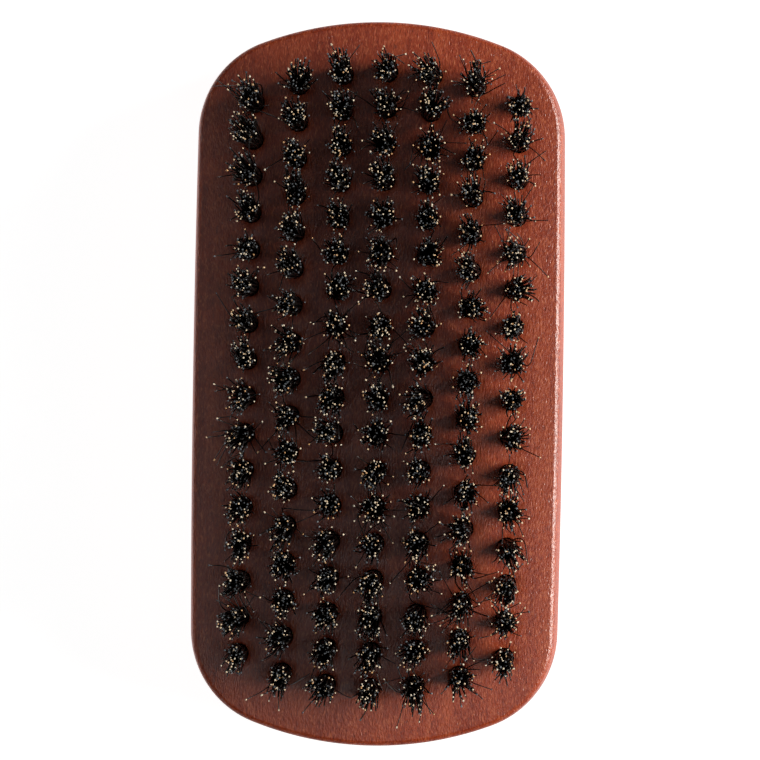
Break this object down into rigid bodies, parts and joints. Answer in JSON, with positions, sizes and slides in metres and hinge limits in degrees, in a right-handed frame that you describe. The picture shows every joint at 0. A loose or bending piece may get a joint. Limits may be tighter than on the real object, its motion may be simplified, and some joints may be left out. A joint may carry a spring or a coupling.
{
  "type": "beard brush",
  "caption": "Palm-held oblong beard brush: a stained hardwood block with straight rows of black natural boar-bristle tufts set in blind holes.",
  "frame": {"origin": "middle of the flat back, on the surface that the brush lies on", "axes": "+Y along the length of the brush, +X across it, +Z from the back towards the bristles"},
  "size_m": [0.059, 0.115, 0.031],
  "materials": {
    "stained_wood": "reddish-brown stain under a thin satin lacquer",
    "boar_bristle": "satin black natural bristle",
    "bristle_tip": "matte cut ends, cream to amber",
    "anchor_metal": "flat drawn wire, bare"
  },
  "bodies": {
    "root": {"wood_block": "stained_wood", "tufts_row_1_group_1": "boar_bristle", "tufts_row_1_group_2": "boar_bristle", "tufts_row_1_group_3": "boar_bristle", "tufts_row_1_group_4": "boar_bristle", "tufts_row_1_group_5": "boar_bristle", "tufts_row_1_group_6": "boar_bristle", "tufts_row_1_group_7": "boar_bristle", "tufts_row_1_group_8": "boar_bristle", "tufts_row_2_group_1": "boar_bristle", "tufts_row_2_group_2": "boar_bristle", "tufts_row_2_group_3": "boar_bristle", "tufts_row_2_group_4": "boar_bristle", "tufts_row_2_group_5": "boar_bristle", "tufts_row_2_group_6": "boar_bristle", "tufts_row_2_group_7": "boar_bristle", "tufts_row_2_group_8": "boar_bristle", "tufts_row_3_group_1": "boar_bristle", "tufts_row_3_group_2": "boar_bristle", "tufts_row_3_group_3": "boar_bristle", "tufts_row_3_group_4": "boar_bristle", "tufts_row_3_group_5": "boar_bristle", "tufts_row_3_group_6": "boar_bristle", "tufts_row_3_group_7": "boar_bristle", "tufts_row_3_group_8": "boar_bristle", "tufts_row_3_group_9": "boar_bristle", "tufts_row_4_group_1": "boar_bristle", "tufts_row_4_group_2": "boar_bristle", "tufts_row_4_group_3": "boar_bristle", "tufts_row_4_group_4": "boar_bristle", "tufts_row_4_group_5": "boar_bristle", "tufts_row_4_group_6": "boar_bristle", "tufts_row_4_group_7": "boar_bristle", "tufts_row_4_group_8": "boar_bristle", "tufts_row_4_group_9": "boar_bristle", "tufts_row_5_group_1": "boar_bristle", "tufts_row_5_group_2": "boar_bristle", "tufts_row_5_group_3": "boar_bristle", "tufts_row_5_group_4": "boar_bristle", "tufts_row_5_group_5": "boar_bristle", "tufts_row_5_group_6": "boar_bristle", "tufts_row_5_group_7": "boar_bristle", "tufts_row_5_group_8": "boar_bristle", "tufts_row_5_group_9": "boar_bristle", "tufts_row_6_group_1": "boar_bristle", "tufts_row_6_group_2": "boar_bristle", "tufts_row_6_group_3": "boar_bristle", "tufts_row_6_group_4": "boar_bristle", "tufts_row_6_group_5": "boar_bristle", "tufts_row_6_group_6": "boar_bristle", "tufts_row_6_group_7": "boar_bristle", "tufts_row_6_group_8": "boar_bristle", "tufts_row_7_group_1": "boar_bristle", "tufts_row_7_group_2": "boar_bristle", "tufts_row_7_group_3": "boar_bristle", "tufts_row_7_group_4": "boar_bristle", "tufts_row_7_group_5": "boar_bristle", "tufts_row_7_group_6": "boar_bristle", "tufts_row_7_group_7": "boar_bristle", "tufts_row_7_group_8": "boar_bristle"}
  },
  "joints": []
}
